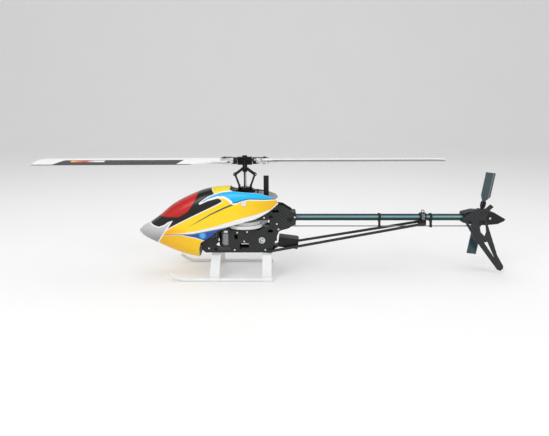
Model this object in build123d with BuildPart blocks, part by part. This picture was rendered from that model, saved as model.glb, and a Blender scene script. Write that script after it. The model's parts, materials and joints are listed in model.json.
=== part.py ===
"""A 450-class electric model helicopter with a flybarless two-blade head.

Frame: the nose points to -X, the tail to +X, the port side to -Y, and +Z is up.  The floor under
the skids is z = 0, and the middle of the whole outline is the origin.  Every station called x is
counted aft from the rotor mast.  The rotor turns clockwise seen from above.
"""

from build123d import *
from math import cos, radians, sin, sqrt
import os

# ---------------------------------------------------------------- driving dimensions, mm
MAST_X = -51.0           # where the mast stands in the model's own frame
HEAD_Z = 200.0           # height of the blade axis
BOOM_Z = 100.5           # height of the tail boom's axis

ROTOR_TURN = 2.0         # degrees that the rotor stands off the fore-and-aft line
BLADE_PITCH = 14.0       # degrees of pitch at rest
TAIL_TURN = 6.6          # degrees that the tail blades stand off the vertical

MODULE = 0.5
MAIN_TEETH = 121
DRIVE_TEETH = 106
MOTOR_TEETH = 13
TAIL_TEETH = 25
MOTOR_X = -(MAIN_TEETH + MOTOR_TEETH) * MODULE / 2
DRIVE_X = (DRIVE_TEETH + TAIL_TEETH) * MODULE / 2

BLADE_BOLT = 34.0        # mast axis to blade bolt
BLADE_LENGTH = 320.2     # bolt to tip; the blade is 325 over all
BLADE_CHORD = 32.0
BLADE_LEAD = 13.0        # leading edge to blade bolt
BLADE_THICK = 4.0
PITCH_ARM = 14.0

FRAME_IN = 14.6          # half the gap between the frame plates
PLATE = 1.4
FRAME_OUT = FRAME_IN + PLATE
BOOM_R = 6.0
BOOM_START = 60.0
BOOM_END = 397.0

TAIL_X = 426.7           # tail rotor axis, aft of the mast
TAIL_Y = 25.0
TAIL_TIP = 76.0
TAIL_CHORD = 17.0

SKID_Y = 52.0
PIPE_R = 3.0
FRONT_ARCH_X = -51.0
REAR_ARCH_X = 38.0

SWASH_Z = 148.5          # height of the servo balls on the swashplate at rest
SWASH_R = 22.0
SERVO_ARM = 14.0
ARM_LIFT = 12.75         # degrees that a cyclic servo arm stands up at rest
SERVO_X = -25.0          # the two front servo shafts
LEFT_SERVO_Z = 120.0
RIGHT_SERVO_Z = 109.0
REAR_SHAFT_X = 36.0
REAR_SERVO_Z = 116.0
ROD_Z = 86.0             # tail control rod
ROD_Y = -6.6
TAIL_SERVO_X = 49.5
TAIL_SERVO_Z = 75.0
LEVER_X = 409.0
LEVER_Y = 14.0

WALL = 1.2               # canopy skin
BALL_R = 1.5

PIVOT_R = 4.2            # the follower linkage: hub pivot, elbow and swashplate foot
PIVOT_Z = 186.0
ELBOW_R = 17.0
ELBOW_Z = 176.5
FOOT_R = 10.0
FOOT_Z = 157.0

os.makedirs("parts", exist_ok=True)


# ---------------------------------------------------------------- planes
def side(y, x=0.0, z=0.0):
    """Side view: sketch x is aft, sketch y is up, extrude goes to port."""
    return Plane(origin=(MAST_X + x, y, z), x_dir=(1, 0, 0), z_dir=(0, -1, 0))


def level(z, x=0.0, y=0.0):
    """Top view: extrude goes up."""
    return Plane(origin=(MAST_X + x, y, z), x_dir=(1, 0, 0), z_dir=(0, 0, 1))


def cross(x, y=0.0, z=0.0):
    """View from the front: sketch x is starboard, extrude goes aft."""
    return Plane(origin=(MAST_X + x, y, z), x_dir=(0, 1, 0), z_dir=(1, 0, 0))


def rotor_level(z, end=1):
    """Level plane whose x runs out along the front (1) or rear (-1) blade, y to its trailing edge."""
    turn = radians(ROTOR_TURN)
    span = (-end * cos(turn), -end * sin(turn), 0)
    return Plane(origin=(MAST_X, 0, z), x_dir=span, z_dir=(0, 0, 1))


def blade_plane(end=1):
    """Like rotor_level at the blade axis, turned about the span to the blade's pitch."""
    flat = rotor_level(HEAD_Z, end)
    pitch = radians(BLADE_PITCH)
    up = flat.z_dir * cos(pitch) + flat.y_dir * sin(pitch)
    return Plane(origin=flat.origin, x_dir=flat.x_dir, z_dir=up)


def tail_plane(end=1):
    """x runs out along the upper (1) or lower (-1) tail blade, z points to starboard."""
    turn = radians(TAIL_TURN)
    span = (end * sin(turn), 0, end * cos(turn))
    return Plane(origin=(MAST_X + TAIL_X, TAIL_Y, BOOM_Z), x_dir=span, z_dir=(0, 1, 0))


def shifted(plane, x=0.0, y=0.0, z=0.0):
    """The same plane with its origin moved in its own axes."""
    return Plane(origin=plane.from_local_coords((x, y, z)), x_dir=plane.x_dir, z_dir=plane.z_dir)


def across(plane, x=0.0, y=0.0, z=0.0):
    """A plane at a point of another one, facing out along that one's x."""
    return Plane(origin=plane.from_local_coords((x, y, z)), x_dir=plane.y_dir, z_dir=plane.x_dir)


def facing(end, reach, aside, z):
    """A plane that looks along the rotor's y axis from a point of the rotor."""
    frame = rotor_level(0, end)
    return Plane(origin=frame.from_local_coords((reach, aside, z)), x_dir=frame.x_dir, z_dir=frame.y_dir)


def rotor_point(end, reach, z):
    """A point over a blade's axis, counted aft of the mast."""
    return tuple(rotor_level(0, end).from_local_coords((reach, 0, z)) - Vector(MAST_X, 0, 0))


def along(start, end):
    """A plane at start that faces end; both points are aft-of-mast coordinates."""
    a = Vector(start[0] + MAST_X, start[1], start[2])
    b = Vector(end[0] + MAST_X, end[1], end[2])
    return Plane(origin=a, z_dir=b - a), (b - a).length


# ---------------------------------------------------------------- shapes used in many parts
def disc(plane, radius, height, mode=Mode.ADD):
    with BuildSketch(plane) as sketch:
        Circle(radius)
    extrude(sketch.sketch, amount=height, mode=mode)


def ring(plane, outer, inner, height, mode=Mode.ADD):
    with BuildSketch(plane) as sketch:
        Circle(outer)
        Circle(inner, mode=Mode.SUBTRACT)
    extrude(sketch.sketch, amount=height, mode=mode)


def box(plane, width, depth, height, mode=Mode.ADD, corner=0.0):
    with BuildSketch(plane) as sketch:
        if corner:
            RectangleRounded(width, depth, corner)
        else:
            Rectangle(width, depth)
    extrude(sketch.sketch, amount=height, mode=mode)


def slab(low, high, mode=Mode.ADD, corner=0.0):
    """A block between two aft-of-mast corners."""
    middle = [(a + b) / 2 for a, b in zip(low, high)]
    size = [b - a for a, b in zip(low, high)]
    box(level(low[2], middle[0], middle[1]), size[0], size[1], size[2], mode, corner)


def outline(plane, points, height, mode=Mode.ADD, corner=0.0):
    with BuildSketch(plane) as sketch:
        with BuildLine():
            Polyline(*points, close=True)
        make_face()
        if corner:
            fillet(sketch.vertices(), corner)
    extrude(sketch.sketch, amount=height, mode=mode)


def tube_between(start, end, radius, bore=0.0):
    plane, length = along(start, end)
    with BuildSketch(plane) as sketch:
        Circle(radius)
        if bore:
            Circle(bore, mode=Mode.SUBTRACT)
    extrude(sketch.sketch, amount=length)


def ball(plane, radius=BALL_R):
    with Locations(plane):
        Sphere(radius)


def toothed_disc(plane, teeth, height, tooth_first=True):
    """A spur wheel with straight-sided teeth; a tooth or a gap lies on the plane's x axis."""
    tip = (teeth + 2) * MODULE / 2 - 0.05
    root = (teeth - 2.5) * MODULE / 2
    step = 360 / teeth
    phase = 0.0 if tooth_first else step / 2
    points = []
    for i in range(teeth):
        for radius, share in ((root, -0.30), (tip, -0.11), (tip, 0.11), (root, 0.30)):
            angle = radians(phase + step * (i + share))
            points.append((radius * cos(angle), radius * sin(angle)))
    outline(plane, points, height)


def save(part, label):
    part.label = label
    export_step(part, f"parts/{label}.step")


# ---------------------------------------------------------------- frame plates and blocks
PLATE_OUTLINE = [
    (-70, 40), (43, 40), (46, 43), (58.5, 78), (62, 80), (76, 84), (86, 92), (90, 100.5),
    (87, 108), (79.5, 115), (65.5, 123.5), (30, 128), (16, 137), (-16, 137), (-36, 130),
    (-60, 108), (-60, 94), (-50.5, 90), (-50.5, 63.5), (-72, 63.5), (-77, 58), (-77, 46),
]
MOTOR_WINDOW = [(-29, 52), (-52, 52), (-49, 59), (-46.5, 67), (-46.5, 76), (-42, 79.5), (-32, 80.5),
                (-29, 78)]
LENS_WINDOW = [(-56, 45), (-51, 49.5), (-29, 49.5), (-24, 45), (-29, 42.5), (-48, 42)]
GEAR_WINDOW = [(-31.5, 85), (-26, 80.6), (25, 80.6), (31, 85), (42, 87), (42, 99), (-31.5, 99)]
WINDOWS = [
    [(-19.5, 64.5), (-13, 64.5), (-13, 72), (-19.5, 72)],
    [(-10, 46), (6, 46), (6, 56.5), (-10, 56.5)],
    [(39.5, 76.5), (48, 76.5), (48, 82), (39.5, 82)],
    [(41.5, 102), (48, 102), (48, 107), (41.5, 107)],
    [(47, 112), (59, 112), (59, 116.5), (47, 116.5)],
    [(73, 96.5), (82, 96.5), (82, 103), (73, 103)],
]
SPACER_PLACES = [(-64, 48), (-14, 76.5), (35, 45), (55, 92), (-48, 112), (30, 62)]
SCREW_PLACES = SPACER_PLACES + [(3, 77.5), (33, 103), (58, 82.5), (86, 104), (-19, 45), (-2, 60.5)]
SERVO_LONG = 23.0
SERVO_WIDE = 12.0
SERVO_DEEP = 22.5
CLEAR = 0.4


def frame_plate(y):
    outline(side(y), PLATE_OUTLINE, PLATE)
    outline(side(y), MOTOR_WINDOW, PLATE, Mode.SUBTRACT, 1.5)
    outline(side(y), LENS_WINDOW, PLATE, Mode.SUBTRACT, 1.0)
    outline(side(y), GEAR_WINDOW, PLATE, Mode.SUBTRACT, 1.0)
    for window in WINDOWS:
        outline(side(y), window, PLATE, Mode.SUBTRACT, 1.0)
    disc(side(y, 29, 62), 6.6, PLATE, Mode.SUBTRACT)


with BuildPart() as frame_plate_left:
    frame_plate(-FRAME_IN)
    disc(side(-FRAME_IN, SERVO_X, LEFT_SERVO_Z), 3.4, PLATE, Mode.SUBTRACT)

with BuildPart() as frame_plate_right:
    frame_plate(FRAME_OUT)
    disc(side(FRAME_OUT, SERVO_X, RIGHT_SERVO_Z), 3.4, PLATE, Mode.SUBTRACT)
    box(side(FRAME_OUT, REAR_SHAFT_X + 5.5, REAR_SERVO_Z), SERVO_LONG + CLEAR, SERVO_WIDE + CLEAR,
        PLATE, Mode.SUBTRACT)
    box(side(FRAME_OUT, TAIL_SERVO_X, TAIL_SERVO_Z - 5.5), SERVO_WIDE + CLEAR, SERVO_LONG + CLEAR,
        PLATE, Mode.SUBTRACT)

with BuildPart() as bottom_plate:
    slab((-66, -FRAME_IN, 40), (43, FRAME_IN, 42))
    tray_side = [(41, 40), (43, 40), (58, 49.5), (92, 45), (92, 47), (58, 51.5), (42, 42), (41, 42)]
    outline(side(12), tray_side, 24)

with BuildPart() as battery_tray:
    with BuildSketch(level(63.6)):
        with BuildLine():
            Polyline((-51, -FRAME_OUT), (-112, -FRAME_OUT), (-140, -10), (-140, 10),
                     (-112, FRAME_OUT), (-51, FRAME_OUT), close=True)
        make_face()
    extrude(amount=1.8)
    box(level(63.6, -70), 20, 12, 1.8, Mode.SUBTRACT, 3)

with BuildPart() as bearing_blocks:
    slab((-14, -FRAME_IN, 60), (14, FRAME_IN, 68))
    slab((-14, -FRAME_IN, 126), (14, FRAME_IN, 136.5))
    disc(level(60), 5.5, 80, Mode.SUBTRACT)
    slab((23, -FRAME_IN, 80), (42, FRAME_IN, 84.2))
    slab((23, -FRAME_IN, 98.4), (35.2, FRAME_IN, 101.2))
    disc(level(79, DRIVE_X), 1.6, 24, Mode.SUBTRACT)
    slab((42.4, -FRAME_IN, 92), (49, FRAME_IN, 109))
    disc(cross(42, 0, BOOM_Z), 4.5, 8, Mode.SUBTRACT)
    slab((-49, -FRAME_IN, 79.2), (-17, FRAME_IN, 81.8))
    disc(level(79, MOTOR_X), 4.5, 3, Mode.SUBTRACT)

with BuildPart() as bearings:
    ring(level(60), 5.5, 2.52, 3.5)
    ring(level(133), 5.5, 2.52, 3.5)
    ring(cross(45, 0, BOOM_Z), 4.5, 2.02, 4)
    ring(cross(413, 0, BOOM_Z), 4.5, 2.02, 3)

with BuildPart() as frame_posts:
    for x, z in SPACER_PLACES:
        disc(side(FRAME_IN, x, z), 2.75, 2 * FRAME_IN)
    ring(side(FRAME_IN, 29, 62), 5.6, 4.2, 2 * FRAME_IN + 0.8)
    for edge in (-FRAME_OUT, FRAME_OUT + 12.3):
        disc(side(edge, -0.7, 131), 1.5, 12.3)
        disc(side(edge if edge < 0 else FRAME_OUT + 1.5, -0.7, 131), 2.6, 1.5)

with BuildPart() as frame_screws:
    for x, z in SCREW_PLACES:
        disc(side(-FRAME_OUT, x, z), 1.5, 0.9)
        disc(side(FRAME_OUT + 0.9, x, z), 1.5, 0.9)

with BuildPart() as boom_clamp:
    slab((58.5, -FRAME_IN, 89.5), (88, FRAME_IN, 112))
    disc(cross(58, 0, BOOM_Z), BOOM_R + 0.02, 40, Mode.SUBTRACT)
    slab((58, -0.6, 104), (90, 0.6, 114), Mode.SUBTRACT)

# ---------------------------------------------------------------- boom, braces and tail
with BuildPart() as tail_boom:
    ring(cross(BOOM_START, 0, BOOM_Z), BOOM_R, BOOM_R - 0.6, BOOM_END - BOOM_START)

BRACE_FRONT = (46, 18.9, 43.6)
BRACE_REAR = (304.5, 9.6, 89.2)
with BuildPart() as boom_braces:
    for hand in (-1, 1):
        front = (BRACE_FRONT[0], hand * BRACE_FRONT[1], BRACE_FRONT[2])
        rear = (BRACE_REAR[0], hand * BRACE_REAR[1], BRACE_REAR[2])
        tube_between(front, rear, 2.4)
        edge = -FRAME_OUT - 1.0 if hand < 0 else FRAME_OUT + 3.4
        box(side(edge, 43, 43.2), 11, 4.6, 2.4, corner=2.2)
        edge = -8.4 if hand < 0 else 10.6
        box(side(edge, 309.5, 89.9), 12, 4.6, 2.2, corner=2.2)

with BuildPart() as boom_fittings:
    disc(cross(307, 0, BOOM_Z), 8.2, 10)
    slab((307, -8.2, 87.6), (317, 8.2, 95))
    with Locations(side(0, 312, BOOM_Z + 10)):
        Torus(2.6, 0.7)
    slab((309, -1.5, 106), (315, 1.5, 109))
    disc(cross(306, 0, BOOM_Z), BOOM_R + 0.02, 12, Mode.SUBTRACT)
    for x in (233.6, 324.0):
        disc(cross(x, 0, BOOM_Z), 7.3, 3.6)
        outline(cross(x), [(-8.0, 86), (-5.2, 86), (-2.5, 95), (-6.4, 97)], 3.6)
        disc(cross(x, ROD_Y, ROD_Z), 2.6, 3.6)
        disc(cross(x, ROD_Y, ROD_Z), 1.35, 3.6, Mode.SUBTRACT)
        disc(cross(x, 0, BOOM_Z), BOOM_R + 0.02, 3.6, Mode.SUBTRACT)

CASE_SIDE = [(381, 92.5), (403, 88), (422, 88), (442, 90), (452, 95), (455, 98.5), (434, 110.5),
             (421, 113), (399, 114), (381, 109.5)]
with BuildPart() as tail_case:
    outline(side(9.4), CASE_SIDE, 18.8)
    disc(cross(380, 0, BOOM_Z), BOOM_R + 0.02, BOOM_END - 380, Mode.SUBTRACT)
    disc(cross(396, 0, BOOM_Z), 4.52, 21, Mode.SUBTRACT)
    slab((416, -8.2, 93.5), (434, 8.2, 107.5), Mode.SUBTRACT)
    disc(side(12, TAIL_X, BOOM_Z), 2.04, 24, Mode.SUBTRACT)
    slab((404.5, 9.4, 89.5), (413.5, 17.4, 95.5))
    disc(level(84, LEVER_X, LEVER_Y), 1.52, 14, Mode.SUBTRACT)
    slab((380, -0.02, 80), (460, 0.02, 120), Mode.SUBTRACT)

FIN = [(379, 101), (389, 108.5), (397, 115), (408, 118), (417.5, 118), (425, 125.5), (431, 121),
       (425.5, 115.5), (419, 101), (425, 87), (447, 33), (460, 13), (460, 8), (456, 4), (450, 6),
       (404, 63)]
FIN_WINDOWS = [
    [(387, 97.5), (394, 96), (396, 83)],
    [(408, 97), (417, 97), (421, 86), (423, 76), (421, 68), (411, 78)],
    [(421, 57), (427, 58), (443, 27)],
]
with BuildPart() as vertical_fin:
    outline(side(-9.6), FIN, 1.6)
    for window in FIN_WINDOWS:
        outline(side(-9.6), window, 1.6, Mode.SUBTRACT)
    disc(side(-9.6, TAIL_X, BOOM_Z), 3.6, 1.6, Mode.SUBTRACT)
    for x, z in ((413, 109.5), (419.5, 110)):
        disc(side(-11.2, x, z), 1.8, 1.0)

# ---------------------------------------------------------------- landing gear
with BuildPart() as skid_arches:
    for station in (FRONT_ARCH_X, REAR_ARCH_X):
        with BuildSketch(cross(station - 8)) as band:
            with BuildLine():
                outer = Polyline((-SKID_Y, 4), (-46, 18), (-25, 38), (-17, 40), (17, 40), (25, 38),
                                 (46, 18),
                                 (SKID_Y, 4))
                Polyline(outer @ 0, (-SKID_Y + 3.4, 4), (-42.8, 17), (-23, 35.2), (-16, 37), (16, 37),
                         (23, 35.2), (42.8, 17), (SKID_Y - 3.4, 4), outer @ 1)
            make_face()
            fillet(band.vertices().filter_by(lambda v: 10 < v.Z < 39), 3)
        extrude(amount=16)
        for hand in (-1, 1):
            disc(cross(station - 9, hand * SKID_Y, PIPE_R), PIPE_R + 1.4, 18)
    for hand in (-1, 1):
        disc(cross(-120, hand * SKID_Y, PIPE_R), PIPE_R + 0.02, 260, Mode.SUBTRACT)
    slab((-120, -70, -6), (120, 70, 0), Mode.SUBTRACT)

with BuildPart() as skid_pipes:
    for hand in (-1, 1):
        with BuildLine(side(hand * SKID_Y)) as route:
            flat = Line((48.4, PIPE_R), (-98, PIPE_R))
            bend = JernArc(flat @ 1, flat % 1, 40, -35)
            Line(bend @ 1, (bend @ 1) + (bend % 1) * 8)
        with BuildSketch(Plane(origin=route.line @ 0, z_dir=route.line % 0)):
            Circle(PIPE_R)
        sweep(path=route.line)

# ---------------------------------------------------------------- power and electronics
with BuildPart() as battery_pack:
    slab((-136, -16.5, 66), (-52, 16.5, 88), corner=3)

with BuildPart() as battery_strap:
    slab((-130, -18.4, 62), (-112, 18.4, 89.8))
    slab((-131, -17.2, 63.2), (-111, 17.2, 88.6), Mode.SUBTRACT)

with BuildPart() as speed_controller:
    slab((-108, -12.5, 52.5), (-78, 12.5, 63), corner=2)

with BuildPart() as flybarless_controller:
    tilt = Plane(origin=(MAST_X + 75, 0, 50.2), x_dir=(cos(radians(7.5)), 0, -sin(radians(7.5))),
                 z_dir=(sin(radians(7.5)), 0, cos(radians(7.5))))
    box(tilt, 35, 25, 15, corner=2.5)

with BuildPart() as servo_cases:
    for z, hand in ((LEFT_SERVO_Z, -1), (RIGHT_SERVO_Z, 1)):
        start = FRAME_IN - 0.2 if hand > 0 else SERVO_DEEP - FRAME_IN + 0.2
        box(side(start, SERVO_X - 5.5, z), SERVO_LONG, SERVO_WIDE - 1.2, SERVO_DEEP, corner=1)
        disc(side(start if hand < 0 else FRAME_OUT + 0.3, SERVO_X, z), 3.0, SERVO_DEEP + 1.9)
    box(side(24, REAR_SHAFT_X + 5.5, REAR_SERVO_Z), SERVO_LONG, SERVO_WIDE, SERVO_DEEP, corner=1)
    disc(side(24, REAR_SHAFT_X, REAR_SERVO_Z), 3.0, SERVO_DEEP + 0.3)
    box(side(18.5, TAIL_SERVO_X, TAIL_SERVO_Z - 5.5), SERVO_WIDE, SERVO_LONG, SERVO_DEEP, corner=1)
    disc(side(18.5, TAIL_SERVO_X, TAIL_SERVO_Z), 2.8, SERVO_DEEP + 0.3)

with BuildPart() as motor_base:
    disc(level(74.5, MOTOR_X), 11, 4.7)
    disc(level(56, MOTOR_X), 4.2, 20)
    disc(level(59, MOTOR_X), 11.2, 13)
    disc(level(55, MOTOR_X), 1.6, 25, Mode.SUBTRACT)

with BuildPart() as motor_bell:
    ring(level(50, MOTOR_X), 13.6, 11.6, 23.8)
    disc(level(50, MOTOR_X), 13.6, 3)
    disc(level(50, MOTOR_X), 1.55, 43)

MOTOR_TO_MAST = Plane(origin=(MAST_X + MOTOR_X, 0, 84.5), x_dir=(1, 0, 0), z_dir=(0, 0, 1))
with BuildPart() as motor_pinion:
    toothed_disc(MOTOR_TO_MAST, MOTOR_TEETH, 7)
    disc(level(84, MOTOR_X), 1.56, 9, Mode.SUBTRACT)

with BuildPart() as anti_rotation_guide:
    slab((14, -8, 133.5), (41, 8, 136.5))
    slab((17, -4.5, 133), (28, 4.5, 137), Mode.SUBTRACT)
    slab((32, -3.2, 136.5), (41, 3.2, 174))
    slab((31.5, -1.15, 139), (39.2, 1.15, 175), Mode.SUBTRACT)

# ---------------------------------------------------------------- canopy
# station, half width, height of the chine, top, bottom, squareness of the corners
CANOPY = [
    (-185.0, 4.0, 77.0, 81.0, 73.0, 0.56),
    (-181.0, 9.5, 77.0, 85.5, 68.5, 0.58),
    (-168.0, 17.5, 77.0, 92.5, 61.5, 0.62),
    (-150.0, 23.5, 77.5, 105.5, 53.5, 0.66),
    (-128.0, 28.0, 78.5, 123.5, 43.5, 0.70),
    (-102.0, 31.0, 81.0, 138.0, 34.5, 0.74),
    (-71.0, 32.5, 88.0, 150.5, 29.5, 0.78),
    (-40.0, 33.0, 97.0, 156.0, 30.0, 0.78),
    (10.0, 32.5, 105.0, 156.0, 40.0, 0.78),
    (62.0, 31.5, 108.0, 152.0, 60.0, 0.78),
]
CANOPY_CUT = [
    (-84, 10), (-80, 41), (-79, 52), (-76, 62), (-61, 72), (-45, 84.5), (-38, 86), (-12, 95.5),
    (18, 104), (36, 112.5), (50, 124), (57.5, 131), (54, 137.5), (40, 143), (23, 147), (3, 148.2),
    (-20, 150), (-25, 152.5), (-26, 170), (80, 170), (80, 10),
]


def canopy_loft(inset, mode):
    sections = []
    for x, half, chine, top, bottom, square in CANOPY:
        forward = x + (3.0 * inset if x < -180 else 0.0)
        w = half - inset
        t = top - inset
        b = bottom + inset
        with BuildSketch(cross(forward)) as sketch:
            with BuildLine():
                up = chine + square * (t - chine)
                down = chine - square * (chine - b)
                Bezier((w, chine), (w, up), (w * square, t), (0, t))
                Bezier((0, t), (-w * square, t), (-w, up), (-w, chine))
                Bezier((-w, chine), (-w, down), (-w * square, b), (0, b))
                Bezier((0, b), (w * square, b), (w, down), (w, chine))
            make_face()
        sections.append(sketch.sketch)
    loft(sections, ruled=True, mode=mode)


with BuildPart() as canopy:
    canopy_loft(0.0, Mode.ADD)
    canopy_loft(WALL, Mode.SUBTRACT)
    outline(side(60), CANOPY_CUT, 120, Mode.SUBTRACT)
    disc(side(60, -0.7, 131), 3.0, 120, Mode.SUBTRACT)

with BuildPart() as canopy_grommets:
    for hand in (-1, 1):
        disc(Plane(origin=(MAST_X - 0.7, hand * 28.8, 131), z_dir=(0, hand, 0)), 2.96, 3.8)
        disc(Plane(origin=(MAST_X - 0.7, hand * 31.6, 131), z_dir=(0, hand, 0)), 4.6, 1.2)

# ---------------------------------------------------------------- rotor: mast, hub and gears
with BuildPart() as main_shaft:
    disc(level(57), 2.5, HEAD_Z - 57 - 6)
    ring(level(96.9), 7.0, 2.5, 6.0)
    ring(level(70), 5.0, 2.5, 4.0)

HUB = rotor_level(HEAD_Z)
with BuildPart() as head_block:
    disc(level(HEAD_Z - 19), 4.2, 14)
    box(rotor_level(HEAD_Z - 6.5), 25, 13, 13, corner=2)
    disc(level(HEAD_Z + 6), 4.2, 3)
    for end in (1, -1):
        box(shifted(rotor_level(PIVOT_Z - 2.2, end), PIVOT_R), 4.4, 8.4, 4.4)
        disc(facing(end, PIVOT_R, -6, PIVOT_Z), 1.0, 12, Mode.SUBTRACT)
    disc(level(HEAD_Z - 20), 2.52, 14, Mode.SUBTRACT)
    disc(across(HUB, -13), 3.0, 26, Mode.SUBTRACT)

with BuildPart() as feathering_shaft:
    disc(across(HUB, -23), 2.0, 46)
    ring(across(HUB, -12), 3.0, 2.0, 6)
    ring(across(HUB, 6), 3.0, 2.0, 6)

with BuildPart() as main_gear:
    toothed_disc(level(85), MAIN_TEETH, 5.5)
    disc(level(85.01), 27.5, 1.6, Mode.SUBTRACT)
    with BuildSketch(level(85)):
        with PolarLocations(18.5, 6):
            Circle(5.2)
    extrude(amount=6, mode=Mode.SUBTRACT)
    ring(level(84.6), 6.5, 2.52, 6.0)
    disc(level(84), 2.52, 8, Mode.SUBTRACT)

TO_TAIL = level(91)
with BuildPart() as tail_drive_gear:
    toothed_disc(TO_TAIL, DRIVE_TEETH, 5.0)
    with BuildSketch(level(91)):
        with PolarLocations(16, 6, start_angle=30):
            Circle(4.6)
    extrude(amount=6, mode=Mode.SUBTRACT)
    disc(level(90), 2.52, 8, Mode.SUBTRACT)

# ---------------------------------------------------------------- swashplate and its links
FRONT_BALLS = [(-SWASH_R * 0.5, hand * SWASH_R * sqrt(0.75)) for hand in (-1, 1)]
ARM_END = (SERVO_ARM * cos(radians(ARM_LIFT)), SERVO_ARM * sin(radians(ARM_LIFT)))

with BuildPart() as swash_outer:
    ring(level(SWASH_Z - 2.2), 17.0, 11.6, 4.2)
    for x, y in FRONT_BALLS:
        tube_between((x * 0.7, y * 0.7, SWASH_Z), (x * 0.99, y * 0.99, SWASH_Z), 0.75)
        ball(level(SWASH_Z, x, y))
    tube_between((16, 0, SWASH_Z), (39.0, 0, SWASH_Z), 0.75)
    ball(level(SWASH_Z, SWASH_R))

with BuildPart() as servo_links:
    for (x, y), z in zip(FRONT_BALLS, (LEFT_SERVO_Z, RIGHT_SERVO_Z)):
        foot = z + ARM_END[1]
        low = SERVO_X + ARM_END[0]
        disc(side(y + 1.1, low, foot), 3.4, 2.2)
        disc(side(y + 1.1, x, SWASH_Z), 2.6, 2.2)
        tube_between((low, y, foot + 2.5), (x, y, SWASH_Z - 2.0), 1.0)
        disc(side(y + 2, low, foot), 2.2, 4, Mode.SUBTRACT)
        disc(side(y + 2, x, SWASH_Z), 1.6, 4, Mode.SUBTRACT)
    foot = REAR_SERVO_Z + ARM_END[1]
    low = REAR_SHAFT_X - ARM_END[0]
    disc(side(-0.6, low, foot), 3.4, 2.2)
    disc(cross(SWASH_R - 1.1, 0, SWASH_Z), 2.6, 2.2)
    tube_between((low, -1.7, foot + 2.5), (SWASH_R, -0.2, SWASH_Z - 2.0), 1.0)
    disc(side(0, low, foot), 2.2, 4, Mode.SUBTRACT)
    disc(cross(SWASH_R - 2, 0, SWASH_Z), 1.6, 4, Mode.SUBTRACT)

LINK_Y = PITCH_ARM + 2.2
UPPER_BALL_Z = SWASH_Z + 5.2
with BuildPart() as swash_inner:
    ring(level(SWASH_Z - 1.6), 11.4, 2.7, 4.0)
    ring(level(SWASH_Z + 2.3), 13.5, 2.7, 2.0)
    ring(level(SWASH_Z + 4.2), 9.0, 2.7, 1.9)
    for end in (1, -1):
        frame = rotor_level(UPPER_BALL_Z, end)
        with BuildSketch(Plane(origin=frame.from_local_coords((0, -4, 0)), x_dir=frame.x_dir,
                               z_dir=-frame.y_dir)):
            Circle(0.8)
        extrude(amount=LINK_Y - 4.5)
        ball(shifted(frame, 0, -LINK_Y))
        box(shifted(rotor_level(SWASH_Z + 4, end), FOOT_R), 3.4, 2.0, 5.3)

with BuildPart() as pitch_links:
    for end in (1, -1):
        frame = rotor_level(0, end)
        low = shifted(frame, 0, -LINK_Y, UPPER_BALL_Z)
        eye = Plane(origin=low.from_local_coords((0, -1.1, 0)), x_dir=low.x_dir, z_dir=low.y_dir)
        disc(eye, 2.5, 2.2)
        ball_z = HEAD_Z + LINK_Y * sin(radians(BLADE_PITCH))
        high = shifted(frame, 0, -LINK_Y * cos(radians(BLADE_PITCH)), ball_z)
        top = Plane(origin=high.from_local_coords((0, -1.1, 0)), x_dir=high.x_dir, z_dir=high.y_dir)
        disc(top, 3.3, 2.2)
        start = low.from_local_coords((0, 0, 2.0)) - Vector(MAST_X, 0, 0)
        stop = high.from_local_coords((0, 0, -2.6)) - Vector(MAST_X, 0, 0)
        tube_between(tuple(start), tuple(stop), 1.1)
        disc(shifted(eye, z=-1), 1.6, 5, Mode.SUBTRACT)
        disc(shifted(top, z=-1), 2.2, 5, Mode.SUBTRACT)


def servo_arm(plane, length, angle, pin):
    """An arm in a side plane that starts at its shaft; pin is how far the ball stands off it."""
    tip = (length * cos(radians(angle)), length * sin(radians(angle)))
    disc(plane, 3.2, 1.2)
    with BuildSketch(plane) as sketch:
        with BuildLine():
            Line((0, 0), tip)
        trace(line_width=3.2)
    extrude(sketch.sketch, amount=1.2)
    disc(shifted(plane, *tip), 1.6, 1.2)
    base = 1.2 if pin > 0 else 0.0
    disc(shifted(plane, tip[0], tip[1], base), 0.7, pin)
    ball(shifted(plane, tip[0], tip[1], base + pin))


with BuildPart() as servo_arm_left:
    servo_arm(side(-FRAME_OUT - 0.5, SERVO_X, LEFT_SERVO_Z), SERVO_ARM, ARM_LIFT, 1.35)

with BuildPart() as servo_arm_right:
    servo_arm(side(FRAME_OUT + 1.7, SERVO_X, RIGHT_SERVO_Z), SERVO_ARM, ARM_LIFT, -1.35)

with BuildPart() as servo_arm_rear:
    servo_arm(side(1.1, REAR_SHAFT_X, REAR_SERVO_Z), SERVO_ARM, 180 - ARM_LIFT, 1.6)

with BuildPart() as servo_arm_tail:
    servo_arm(side(-4.4, TAIL_SERVO_X, TAIL_SERVO_Z), ROD_Z - TAIL_SERVO_Z, 90, 1.0)


def follower_link(end):
    """A bar from the swashplate's foot up to the elbow; the elbow's eye has room for the arm's arc."""
    disc(facing(end, FOOT_R, -1.9, FOOT_Z), 2.2, 3.8)
    disc(facing(end, ELBOW_R, -1.5, ELBOW_Z), 3.3, 3.0)
    tube_between(rotor_point(end, FOOT_R + 0.6, FOOT_Z + 1.6),
                 rotor_point(end, ELBOW_R - 0.7, ELBOW_Z - 2), 1.7)
    disc(facing(end, ELBOW_R, -2, ELBOW_Z), 1.75, 4, Mode.SUBTRACT)
    box(shifted(rotor_level(FOOT_Z - 3, end), FOOT_R), 5, 2.2, 4.7, Mode.SUBTRACT)


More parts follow.
